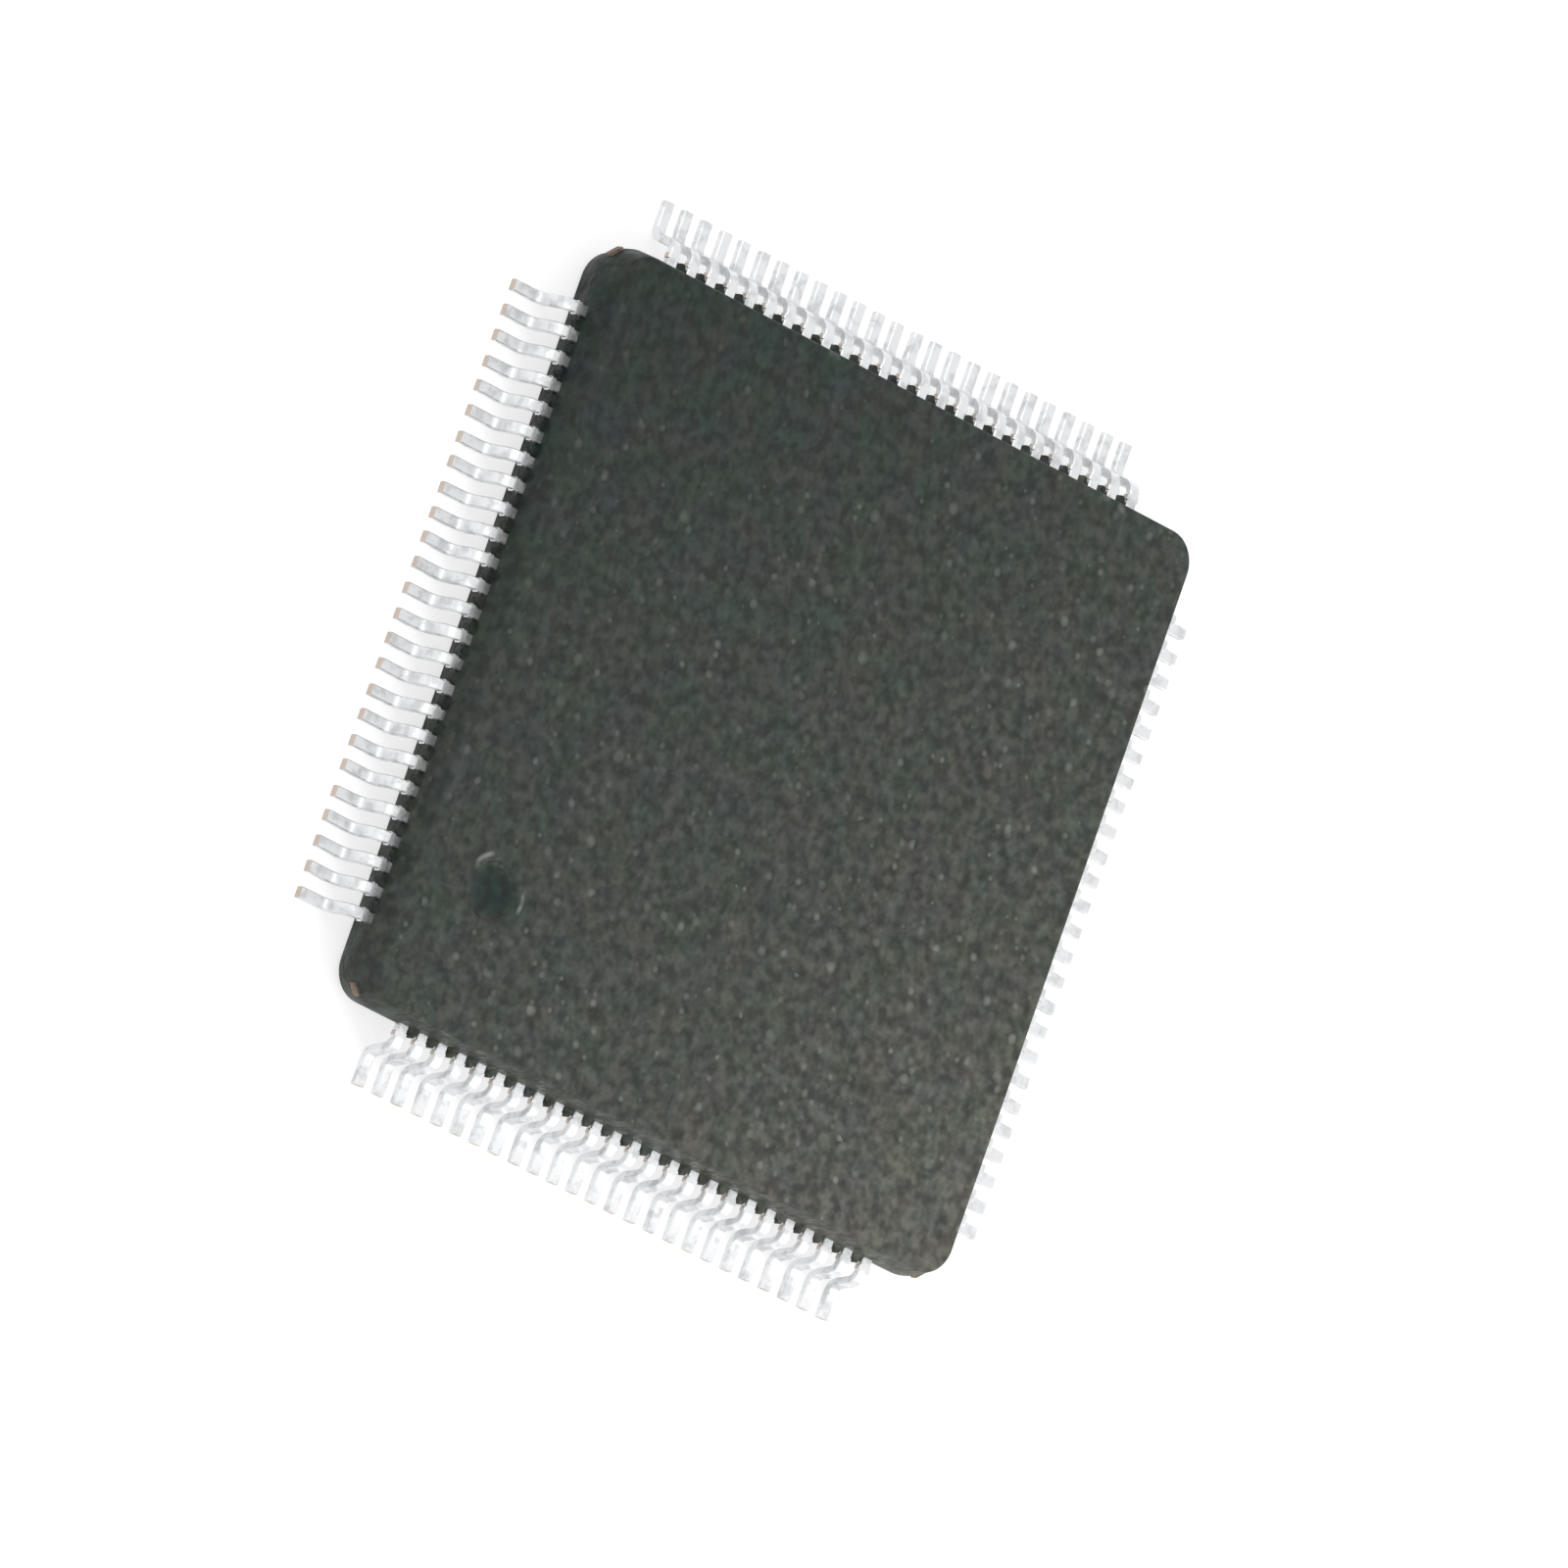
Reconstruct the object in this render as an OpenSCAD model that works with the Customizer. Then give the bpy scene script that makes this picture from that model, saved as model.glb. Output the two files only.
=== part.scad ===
// Quad flat pack: a thin square moulding with a row of gull-wing leads on each of its four sides.
// The moulding holds the lead frame, the silicon die and the bond wires that join them.
// The soles of the leads lie on z = 0, and the dimple marks the left end of the front row.

/* [Moulding] */
// Side of the square moulding at its parting line
body_size = 12; // [11.8:0.1:14]
// Thickness of the moulding
body_t = 1; // [0.9:0.05:1.4]
// Gap between the moulding and the board
standoff = 0.1; // [0.05:0.01:0.15]
// Draft of the side walls, in degrees
wall_draft = 12; // [5:1:15]
// Radius of the upright corners
corner_r = 0.6; // [0.5:0.05:1]
// How far the resin stands out between the leads
tooth_len = 0.13; // [0.06:0.01:0.15]
// Width of a resin tooth at its tip
tooth_tip = 0.05; // [0.04:0.01:0.1]

/* [Moulding marks] */
// Diameter of the dimple that marks the first lead
dimple_d = 1; // [0.8:0.1:1.4]
// Depth of the dimple
dimple_depth = 0.08; // [0.04:0.01:0.12]
// Slope of the wall of the dimple, in degrees from upright
dimple_draft = 25; // [10:5:40]
// From the left side of the moulding to the middle of the dimple
dimple_x = 1.6; // [1.4:0.1:3]
// From the front side of the moulding to the middle of the dimple
dimple_y = 2.3; // [1.4:0.1:3]
// Diameter of the ejector marks on the underside
ejector_d = 1; // [0.8:0.1:1.4]
// Depth of the ejector marks
ejector_depth = 0.04; // [0.02:0.01:0.06]
// From the sides of the moulding to the middle of an ejector mark
ejector_inset = 2.2; // [1.8:0.1:3]

/* [Leads] */
// Leads on each side
leads_per_side = 25; // [17:2:25]
// Distance between neighbouring leads
lead_pitch = 0.4; // [0.35:0.01:0.4]
// Width of a lead outside the moulding
lead_w = 0.18; // [0.13:0.01:0.2]
// Thickness of the lead frame and its plating
lead_t = 0.127; // [0.1:0.001:0.16]
// How far the leads stand out from the moulding
lead_reach = 1; // [0.9:0.05:1.2]
// Flat length of a lead before its upper bend
shoulder_len = 0.2; // [0.16:0.01:0.25]
// Inside radius of both bends
bend_r = 0.12; // [0.08:0.01:0.14]
// Slope of the leg between the bends, in degrees from the board
leg_angle = 80; // [70:1:88]
// Length of the stubs where the dam bar was cut
dambar_len = 0.08; // [0.05:0.01:0.1]
// How far a dam bar stub stands out from the edge of its lead
dambar_stub = 0.02; // [0.01:0.01:0.03]

/* [Lead frame inside] */
// Straight length of a finger behind the wall of the moulding
finger_root = 0.4; // [0.3:0.05:0.5]
// Distance between neighbouring finger tips
tip_pitch = 0.22; // [0.19:0.01:0.23]
// Width of a finger at its tip
tip_w = 0.11; // [0.08:0.01:0.12]
// Straight length of a finger at its tip
tip_len = 0.5; // [0.3:0.05:0.7]
// Gap between the die paddle and the finger tips
tip_gap = 0.55; // [0.4:0.05:0.7]
// Side of the square die paddle
paddle_size = 5; // [4.6:0.1:5.4]
// How far the die paddle lies below the fingers
paddle_downset = 0.15; // [0.1:0.01:0.2]
// Width of the four tie bars that hold the paddle
tie_w = 0.22; // [0.18:0.01:0.26]
// Flat length of a tie bar between the paddle and its ramp
tie_root = 0.15; // [0.1:0.05:0.3]
// Length of the ramp in a tie bar
tie_ramp = 0.3; // [0.2:0.05:0.4]
// How far a cut tie bar stands out at the corner
tie_stub = 0.04; // [0.02:0.01:0.08]
// From the finger tips to the lead lock tape
tape_inset = 0.85; // [0.7:0.05:1]
// Width of the lead lock tape
tape_w = 0.7; // [0.5:0.05:0.9]
// Thickness of the lead lock tape
tape_t = 0.05; // [0.03:0.01:0.08]

/* [Die and wires] */
// Side of the square die
die_size = 4; // [3.8:0.1:4.2]
// Thickness of the die
die_t = 0.2; // [0.15:0.01:0.25]
// Thickness of the adhesive under the die
attach_t = 0.025; // [0.015:0.005:0.04]
// How far the adhesive spreads past the die
attach_margin = 0.15; // [0.05:0.05:0.2]
// Distance between neighbouring wire pads on the die
pad_pitch = 0.14; // [0.1:0.01:0.15]
// From the edge of the die to the middle of a wire pad
pad_inset = 0.1; // [0.08:0.01:0.15]
// Thickness of a bond wire
wire_d = 0.025; // [0.02:0.005:0.04]
// Height of a wire loop above the die
loop_h = 0.14; // [0.1:0.01:0.16]
// Radius of the knee in a wire loop
knee_r = 0.06; // [0.04:0.01:0.08]
// Diameter of the ball bond on the die
ball_d = 0.06; // [0.05:0.01:0.08]
// Height of the ball bond
ball_h = 0.02; // [0.01:0.005:0.03]
// Length of the wedge bond on a finger
wedge_len = 0.08; // [0.05:0.01:0.1]
// From a finger tip to the start of the wedge bond
wedge_inset = 0.12; // [0.08:0.01:0.2]

/* [Hidden] */
$fn = 64;

resin = [0.25, 0.26, 0.24];
tin = [0.8, 0.81, 0.82];
copper = [0.78, 0.5, 0.36];
gold = [0.9, 0.72, 0.3];
polyimide = [0.72, 0.42, 0.1];
silver_epoxy = [0.66, 0.66, 0.64];
silicon = [0.3, 0.33, 0.4];

// Flats in each bend of a lead
bend_steps = 5;
// Flats in the knee of a bond wire
knee_steps = 2;
// Flats round a ball bond
ball_sides = 8;
// How far a shape runs past the surface that it opens or joins
overlap = 0.05;
// Turn from one side of the square to the next
quarter = 90;

// A worked-out length, rounded to 0.1 micron so that shapes that share it meet
function fine(length) = round(length * 10000) / 10000;

// Levels, from the board up
body_bottom = standoff;
body_top = standoff + body_t;
frame_mid = standoff + body_t / 2;
frame_low = fine(frame_mid - lead_t / 2);
frame_high = frame_low + lead_t;
paddle_low = frame_low - paddle_downset;
paddle_high = paddle_low + lead_t;
die_low = paddle_high + attach_t;
die_high = die_low + die_t;

// Places, from the middle of the package out
body_half = body_size / 2;
first_lead = -(leads_per_side - 1) / 2;
tip_edge = paddle_size / 2 + tip_gap;
pad_line = die_size / 2 - pad_inset;
wedge_line = tip_edge + wedge_inset;
corner_reach = (body_half - corner_r) * sqrt(2) + corner_r;
low_inset = fine((frame_low - body_bottom) * tan(wall_draft));
high_inset = fine((body_top - frame_high) * tan(wall_draft));

// Points on an arc round a centre, from one angle to another
function arc(centre, r, from, to, steps) =
    [for (k = [0:steps]) let (a = from + (to - from) * k / steps)
        centre + r * [cos(a), sin(a)]];

// Section of a side wall at a given reach from its axis: drafted below and above the lead frame
function wall(reach) = [
    [reach - low_inset, body_bottom],
    [reach, frame_low],
    [reach, frame_high],
    [reach - high_inset, body_top]
];

// Section of a lead outside the moulding, as reach and height: shoulder, bend, leg, bend and foot
function gull_wing() =
    let (
        outer_r = bend_r + lead_t,
        mid_r = bend_r + lead_t / 2,
        upper = [shoulder_len, frame_low - bend_r],
        foot_level = lead_t + bend_r,
        leg = (upper.y - foot_level + 2 * mid_r * cos(leg_angle)) / sin(leg_angle),
        lower = [upper.x + 2 * mid_r * sin(leg_angle) + leg * cos(leg_angle), foot_level]
    )
    concat(
        [[0, frame_low], [0, frame_high]],
        arc(upper, outer_r, 90, 90 - leg_angle, bend_steps),
        arc(lower, bend_r, 270 - leg_angle, 270, bend_steps),
        [[lead_reach, lead_t], [lead_reach, 0]],
        arc(lower, outer_r, 270, 270 - leg_angle, bend_steps),
        arc(upper, bend_r, 90 - leg_angle, 90, bend_steps)
    );

// Outline of the flat part of a lead seen from above, as place along the row and reach from the middle
function finger_outline(i) =
    let (
        x = i * lead_pitch,
        tip_x = i * tip_pitch,
        root = body_half - finger_root,
        bend = body_half + shoulder_len,
        stub = bend - dambar_len
    )
    [
        [tip_x - tip_w / 2, tip_edge],
        [tip_x - tip_w / 2, tip_edge + tip_len],
        [x - lead_w / 2, root],
        [x - lead_w / 2, stub],
        [x - lead_w / 2 - dambar_stub, stub],
        [x - lead_w / 2 - dambar_stub, bend],
        [x + lead_w / 2 + dambar_stub, bend],
        [x + lead_w / 2 + dambar_stub, stub],
        [x + lead_w / 2, stub],
        [x + lead_w / 2, root],
        [tip_x + tip_w / 2, tip_edge + tip_len],
        [tip_x + tip_w / 2, tip_edge]
    ];

// Section of a bond wire along its own length: rise, knee, long slope and wedge
function wire_section(span) =
    let (
        half = wire_d / 2,
        top = die_high + loop_h,
        drop = top - frame_high - wire_d,
        slope = atan2(drop, span - knee_r),
        knee = [knee_r, top - knee_r]
    )
    concat(
        [[-half, die_high + ball_h / 2]],
        arc(knee, knee_r + half, 180, 90 - slope, knee_steps),
        [[span, frame_high + wire_d], [span + wedge_len, frame_high + wire_d / 2]],
        [[span + wedge_len, frame_high], [span, frame_high]],
        arc(knee, knee_r - half, 90 - slope, 180, knee_steps),
        [[half, die_high + ball_h / 2]]
    );

// Copies what follows onto one side of the square: 0 is the front, then counter-clockwise
module on_side(side) rotate([0, 0, side * quarter]) children();

// A plate between two levels, drawn with its reach pointing to the front
module plate(low, thickness, outline)
    translate([0, 0, low]) linear_extrude(height = thickness) polygon([for (p = outline) [p.x, -p.y]]);

module square_plate(side, low, thickness)
    translate([-side / 2, -side / 2, low]) cube([side, side, thickness]);

// A rounded square with drafted walls: two crossing slabs and four turned corners
module body_blank() {
    side_wall = wall(body_half);
    for (turn = [0, quarter])
        rotate([quarter, 0, turn])
            linear_extrude(height = body_size - 2 * corner_r, center = true)
                polygon(concat(side_wall, [for (k = [3:-1:0]) [-side_wall[k].x, side_wall[k].y]]));
    for (side = [0:3])
        on_side(side)
            translate([body_half - corner_r, body_half - corner_r, 0])
                rotate_extrude(angle = quarter)
                    polygon(concat([[0, body_bottom]], wall(corner_r), [[0, body_top]]));
}

// Resin that set between the leads, up to where the dam bar was
module resin_teeth() {
    root = lead_pitch - lead_w;
    for (k = [0:leads_per_side - 2]) {
        x = (first_lead + k + 0.5) * lead_pitch;
        plate(frame_low, lead_t, [
            [x - root / 2, body_half - overlap],
            [x - root / 2, body_half],
            [x - tooth_tip / 2, body_half + tooth_len],
            [x + tooth_tip / 2, body_half + tooth_len],
            [x + root / 2, body_half],
            [x + root / 2, body_half - overlap]
        ]);
    }
}

module finger(i) plate(frame_low, lead_t, finger_outline(i));

module lead(i) {
    finger(i);
    translate([i * lead_pitch + lead_w / 2, -body_half, 0])
        rotate([quarter, 0, -quarter])
            linear_extrude(height = lead_w) polygon(gull_wing());
}

module lead_row(side)
    color(tin) on_side(side)
        for (k = [0:leads_per_side - 1]) lead(first_lead + k);

module bond_wire(i) {
    pad = [i * pad_pitch, -pad_line];
    landing = [i * tip_pitch, -wedge_line];
    span = norm(landing - pad);
    translate([pad.x, pad.y, 0]) {
        translate([0, 0, die_high]) cylinder(h = ball_h, d = ball_d, $fn = ball_sides);
        rotate([0, 0, atan2(landing.y - pad.y, landing.x - pad.x)])
            rotate([quarter, 0, 0])
                translate([0, 0, -wire_d / 2])
                    linear_extrude(height = wire_d) polygon(wire_section(span));
    }
}

module bond_wire_row(side)
    color(gold) on_side(side)
        for (k = [0:leads_per_side - 1]) bond_wire(first_lead + k);

// One tie bar, from inside the paddle down its ramp to the corner of the moulding
module tie_bar() {
    corner = paddle_size / 2 * sqrt(2);
    ramp = corner + tie_root;
    end = corner_reach + tie_stub;
    rotate([quarter, 0, 0])
        translate([0, 0, -tie_w / 2])
            linear_extrude(height = tie_w) polygon([
                [corner - tie_w, paddle_low],
                [ramp, paddle_low],
                [ramp + tie_ramp, frame_low],
                [end, frame_low],
                [end, frame_high],
                [ramp + tie_ramp, frame_high],
                [ramp, paddle_high],
                [corner - tie_w, paddle_high]
            ]);
}

module die_paddle()
    color(copper) {
        square_plate(paddle_size, paddle_low, lead_t);
        for (side = [0:3]) on_side(side) rotate([0, 0, quarter / 2]) tie_bar();
    }

module lead_lock_tape()
    color(polyimide) difference() {
        inner = 2 * (tip_edge + tape_inset);
        square_plate(inner + 2 * tape_w, frame_high, tape_t);
        square_plate(inner, frame_high - overlap, tape_t + 2 * overlap);
    }

module die_attach()
    color(silver_epoxy) square_plate(die_size + 2 * attach_margin, paddle_high, attach_t);

module die()
    color(silicon) square_plate(die_size, die_low, die_t);

// The shallow conical dimple in the top face
module dimple_cut() {
    slope = tan(dimple_draft);
    translate([dimple_x - body_half, dimple_y - body_half, body_top - dimple_depth])
        cylinder(
            h = dimple_depth + overlap,
            d1 = dimple_d - 2 * dimple_depth * slope,
            d2 = dimple_d + 2 * overlap * slope
        );
}

module ejector_cuts()
    for (side = [0:3])
        on_side(side)
            translate([body_half - ejector_inset, body_half - ejector_inset, body_bottom - overlap])
                cylinder(h = ejector_depth + overlap, d = ejector_d);

module mould_body()
    color(resin) difference() {
        union() {
            body_blank();
            for (side = [0:3]) on_side(side) resin_teeth();
        }
        for (side = [0:3]) {
            on_side(side) for (k = [0:leads_per_side - 1]) finger(first_lead + k);
            bond_wire_row(side);
        }
        die_paddle();
        lead_lock_tape();
        die_attach();
        die();
        dimple_cut();
        ejector_cuts();
    }

mould_body();
lead_row(0);  // lead_row_front
lead_row(1);  // lead_row_right
lead_row(2);  // lead_row_back
lead_row(3);  // lead_row_left
die_paddle();
lead_lock_tape();
die_attach();
die();
bond_wire_row(0);  // bond_wires_front
bond_wire_row(1);  // bond_wires_right
bond_wire_row(2);  // bond_wires_back
bond_wire_row(3);  // bond_wires_left
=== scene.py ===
import math

import bmesh
import bpy
import numpy as np
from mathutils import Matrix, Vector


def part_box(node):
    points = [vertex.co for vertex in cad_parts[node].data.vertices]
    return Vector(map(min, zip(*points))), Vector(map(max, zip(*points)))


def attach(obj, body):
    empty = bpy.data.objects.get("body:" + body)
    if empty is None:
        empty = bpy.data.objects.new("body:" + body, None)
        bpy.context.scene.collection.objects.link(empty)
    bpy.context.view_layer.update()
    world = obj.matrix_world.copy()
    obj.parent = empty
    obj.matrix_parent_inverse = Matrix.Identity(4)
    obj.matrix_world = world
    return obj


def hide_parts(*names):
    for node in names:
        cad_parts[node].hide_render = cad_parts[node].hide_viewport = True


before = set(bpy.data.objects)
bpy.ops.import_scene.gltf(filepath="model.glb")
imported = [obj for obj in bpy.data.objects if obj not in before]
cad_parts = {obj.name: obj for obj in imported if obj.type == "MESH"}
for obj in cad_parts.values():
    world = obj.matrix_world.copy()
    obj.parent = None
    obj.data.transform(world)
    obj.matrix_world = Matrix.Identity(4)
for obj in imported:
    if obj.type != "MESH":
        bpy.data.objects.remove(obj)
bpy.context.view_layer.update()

mm = 0.001  # lengths below are in millimetres and become metres when a mesh is made
sideNames = ["front", "right", "back", "left"]  # side k is the front side turned k quarter turns
bodyBox = [np.array(corner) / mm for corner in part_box("mould_body")]
tapeBox = [np.array(corner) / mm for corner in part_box("lead_lock_tape")]
frameHigh = tapeBox[0][2]  # the tape lies on the flat part of the leads
print("frame loaded:", len(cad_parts), "nodes")


# Helpers for meshes

def gridFaces(rows, columns, closed=False):
    # Quads of a grid of rows x columns points, numbered row by row. closed joins the last column to the first
    index = np.arange(rows * columns).reshape(rows, columns)
    if closed:
        index = np.concatenate([index, index[:, :1]], axis=1)
    return np.stack([index[:-1, :-1], index[:-1, 1:], index[1:, 1:], index[1:, :-1]], axis=-1).reshape(-1, 4)


def makeMesh(name, points, faces):
    # One mesh from whole arrays: points in millimetres, faces as rows of four point numbers
    mesh = bpy.data.meshes.new(name)
    mesh.vertices.add(len(points))
    mesh.vertices.foreach_set("co", (np.asarray(points) * mm).astype(np.float32).ravel())
    mesh.loops.add(faces.size)
    mesh.loops.foreach_set("vertex_index", faces.astype(np.int32).ravel())
    mesh.polygons.add(len(faces))
    mesh.polygons.foreach_set("loop_start", np.arange(0, faces.size, 4, dtype=np.int32))
    mesh.update(calc_edges=True)
    return mesh


def weldMesh(mesh, reach):
    # Joins seams and poles, drops the faces that had no area and turns the rest outwards
    work = bmesh.new()
    work.from_mesh(mesh)
    bmesh.ops.remove_doubles(work, verts=work.verts, dist=reach * mm)
    bmesh.ops.dissolve_degenerate(work, edges=work.edges, dist=reach * mm / 4)
    bmesh.ops.recalc_face_normals(work, faces=work.faces)
    work.to_mesh(mesh)
    work.free()


def meshPoints(mesh):
    # The points of a mesh in millimetres
    flat = np.zeros(len(mesh.vertices) * 3, np.float32)
    mesh.vertices.foreach_get("co", flat)
    return flat.reshape(-1, 3) / mm


def smoothSides(mesh, angle):
    mesh.polygons.foreach_set("use_smooth", np.ones(len(mesh.polygons), bool))
    mesh.set_sharp_from_angle(angle=math.radians(angle))


def showPiece(name, mesh, nodes, material):
    piece = bpy.data.objects.new(name, mesh)
    bpy.context.scene.collection.objects.link(piece)
    mesh.materials.append(material)
    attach(piece, "root")
    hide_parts(*nodes)


def ease(t):
    # Smooth step from 0 to 1: 3 t squared less 2 t cubed
    t = np.clip(t, 0, 1)
    return t * t * (3 - 2 * t)


def softNoise(x, y, cell, seed):
    # Value noise: random heights on a square lattice of the given cell, with the smooth step between them
    side = 128
    lattice = np.random.default_rng(seed).uniform(-1, 1, (side, side))
    gx, gy = x / cell + side / 2, y / cell + side / 2
    ix, iy = np.floor(gx).astype(int), np.floor(gy).astype(int)
    tx, ty = ease(gx - ix), ease(gy - iy)
    ix, iy = ix % (side - 1), iy % (side - 1)
    low = lattice[ix, iy] * (1 - tx) + lattice[ix + 1, iy] * tx
    high = lattice[ix, iy + 1] * (1 - tx) + lattice[ix + 1, iy + 1] * tx
    return low * (1 - ty) + high * ty


def turned(points, side):
    # Quarter turns about z: (x, y) becomes (-y, x) each time
    for _ in range(side):
        points = np.stack([-points[..., 1], points[..., 0], points[..., 2]], axis=-1)
    return points


# Helpers for shader nodes, and the groups that several materials share

def newGroup(name, inputs, outputs):
    group = bpy.data.node_groups.new(name, "ShaderNodeTree")
    for label, kind, value in inputs:
        socket = group.interface.new_socket(name=label, in_out="INPUT", socket_type=kind)
        if value is not None:
            socket.default_value = value
    for label, kind in outputs:
        group.interface.new_socket(name=label, in_out="OUTPUT", socket_type=kind)
    source, sink = group.nodes.new("NodeGroupInput"), group.nodes.new("NodeGroupOutput")
    return group, source, sink


def mathNode(tree, operation, first, second=None, clamp=False):
    node = tree.nodes.new("ShaderNodeMath")
    node.operation, node.use_clamp = operation, clamp
    for slot, value in ((0, first), (1, second)):
        if isinstance(value, bpy.types.NodeSocket):
            tree.links.new(value, node.inputs[slot])
        elif value is not None:
            node.inputs[slot].default_value = value
    return node.outputs[0]


def vectorNode(tree, operation, first, second=None):
    node = tree.nodes.new("ShaderNodeVectorMath")
    node.operation = operation
    tree.links.new(first, node.inputs[0])
    if second is not None:
        node.inputs[1].default_value = second
    return node.outputs["Value" if operation in ("LENGTH", "DOT_PRODUCT") else "Vector"]


def mapRange(tree, value, low, high, toLow=0.0, toHigh=1.0):
    node = tree.nodes.new("ShaderNodeMapRange")
    node.interpolation_type = "SMOOTHSTEP"
    tree.links.new(value, node.inputs["Value"])
    for label, number in (("From Min", low), ("From Max", high), ("To Min", toLow), ("To Max", toHigh)):
        node.inputs[label].default_value = number
    return node.outputs["Result"]


def mixColour(tree, mask, first, second, blend="MIX"):
    node = tree.nodes.new("ShaderNodeMix")
    node.data_type, node.blend_type = "RGBA", blend
    for slot, value in ((0, mask), (6, first), (7, second)):
        if isinstance(value, bpy.types.NodeSocket):
            tree.links.new(value, node.inputs[slot])
        elif isinstance(value, (float, int)):
            node.inputs[slot].default_value = value
        else:
            node.inputs[slot].default_value = (*value, 1)
    return node.outputs[2]


def noiseNode(tree, coordinates, perMm, detail, roughness):
    # perMm is a number, or a socket that already holds lumps per metre
    node = tree.nodes.new("ShaderNodeTexNoise")
    tree.links.new(coordinates, node.inputs["Vector"])
    if isinstance(perMm, bpy.types.NodeSocket):
        tree.links.new(perMm, node.inputs["Scale"])
    else:
        node.inputs["Scale"].default_value = perMm / mm
    node.inputs["Detail"].default_value = detail
    node.inputs["Roughness"].default_value = roughness
    return node.outputs["Fac"]


def noiseLevel(tree, coordinates, perMm, detail, roughness, low, high):
    # Noise as a smooth level: 0.3 and below give low, 0.7 and above give high
    field = noiseNode(tree, coordinates, perMm, detail, roughness)
    return mapRange(tree, field, 0.3, 0.7, low, high)


def cellNode(tree, coordinates, perMetre):
    # Distance to the nearest of some points strewn at random, in cells, and a random colour for each point
    node = tree.nodes.new("ShaderNodeTexVoronoi")
    tree.links.new(coordinates, node.inputs["Vector"])
    tree.links.new(perMetre, node.inputs["Scale"])
    return node.outputs["Distance"], node.outputs["Color"]


def makeGrainGroup():
    # Rough grain of a surface: slow lumps from noise with small round craters over them, and a normal for
    # both. A crater's height is the square of the distance from its middle
    cratersPerLump, craterShare, metresPerMicron = 1.7, 0.35, 0.000001
    group, source, sink = newGroup(
        "surfaceGrain",
        [("Coordinates", "NodeSocketVector", None), ("Lumps per mm", "NodeSocketFloat", 8.0),
         ("Depth in microns", "NodeSocketFloat", 4.0), ("Strength", "NodeSocketFloat", 1.0)],
        [("Height", "NodeSocketFloat"), ("Normal", "NodeSocketVector")])
    coordinates = source.outputs["Coordinates"]
    perMetre = mathNode(group, "MULTIPLY", source.outputs["Lumps per mm"], 1 / mm)
    lumps = noiseNode(group, coordinates, perMetre, detail=1.0, roughness=0.5)
    distance, _ = cellNode(group, coordinates, mathNode(group, "MULTIPLY", perMetre, cratersPerLump))
    craters = mathNode(group, "MULTIPLY", mathNode(group, "MULTIPLY", distance, distance), craterShare)
    height = mathNode(group, "ADD", lumps, craters)
    bump = group.nodes.new("ShaderNodeBump")
    metres = mathNode(group, "MULTIPLY", source.outputs["Depth in microns"], metresPerMicron)
    group.links.new(source.outputs["Strength"], bump.inputs["Strength"])
    group.links.new(metres, bump.inputs["Distance"])
    group.links.new(height, bump.inputs["Height"])
    group.links.new(height, sink.inputs["Height"])
    group.links.new(bump.outputs["Normal"], sink.inputs["Normal"])
    return group


def makeSpeckGroup():
    # Soft round specks, each with its own size and strength, and most too faint to see. With d the distance
    # over the speck's size and n = 1 - d, a speck fades as n (2 - n)
    smallest = 0.3  # of Size
    group, source, sink = newGroup(
        "softSpecks",
        [("Coordinates", "NodeSocketVector", None), ("Specks per mm", "NodeSocketFloat", 3.5),
         ("Size", "NodeSocketFloat", 0.34), ("Share", "NodeSocketFloat", 0.5)],
        [("Mask", "NodeSocketFloat")])
    perMetre = mathNode(group, "MULTIPLY", source.outputs["Specks per mm"], 1 / mm)
    distance, colour = cellNode(group, source.outputs["Coordinates"], perMetre)
    apart = group.nodes.new("ShaderNodeSeparateColor")
    group.links.new(colour, apart.inputs["Color"])
    reach = mathNode(group, "MULTIPLY", apart.outputs["Green"], 1 - smallest)
    reach = mathNode(group, "ADD", reach, smallest)
    reach = mathNode(group, "MULTIPLY", source.outputs["Size"], reach)
    near = mathNode(group, "SUBTRACT", 1.0, mathNode(group, "DIVIDE", distance, reach), clamp=True)
    near = mathNode(group, "MULTIPLY", near, mathNode(group, "SUBTRACT", 2.0, near))
    none = mathNode(group, "SUBTRACT", 1.0, source.outputs["Share"])
    luck = mathNode(group, "SUBTRACT", apart.outputs["Red"], none)
    luck = mathNode(group, "DIVIDE", luck, source.outputs["Share"], clamp=True)
    group.links.new(mathNode(group, "MULTIPLY", near, luck), sink.inputs["Mask"])
    return group


def makePatchGroup():
    # Soft patches: a mask from 0 to 1 that is 1 where slow noise is high. Cover moves the share that is patch
    softness = 0.12
    group, source, sink = newGroup(
        "softPatches",
        [("Coordinates", "NodeSocketVector", None), ("Offset in mm", "NodeSocketVector", (0, 0, 0)),
         ("Patches per mm", "NodeSocketFloat", 1.0), ("Cover", "NodeSocketFloat", 0.5)],
        [("Mask", "NodeSocketFloat")])
    shift = group.nodes.new("ShaderNodeVectorMath")
    shift.operation = "MULTIPLY_ADD"
    group.links.new(source.outputs["Offset in mm"], shift.inputs[0])
    shift.inputs[1].default_value = (mm, mm, mm)
    group.links.new(source.outputs["Coordinates"], shift.inputs[2])
    perMetre = mathNode(group, "MULTIPLY", source.outputs["Patches per mm"], 1 / mm)
    field = noiseNode(group, shift.outputs[0], perMetre, detail=3.0, roughness=0.55)
    edge = mathNode(group, "SUBTRACT", 1.0, source.outputs["Cover"])
    above = mathNode(group, "SUBTRACT", field, edge)
    group.links.new(mapRange(group, above, -softness, softness), sink.inputs["Mask"])
    return group


grainGroup = makeGrainGroup()
patchGroup = makePatchGroup()
speckGroup = makeSpeckGroup()


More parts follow.
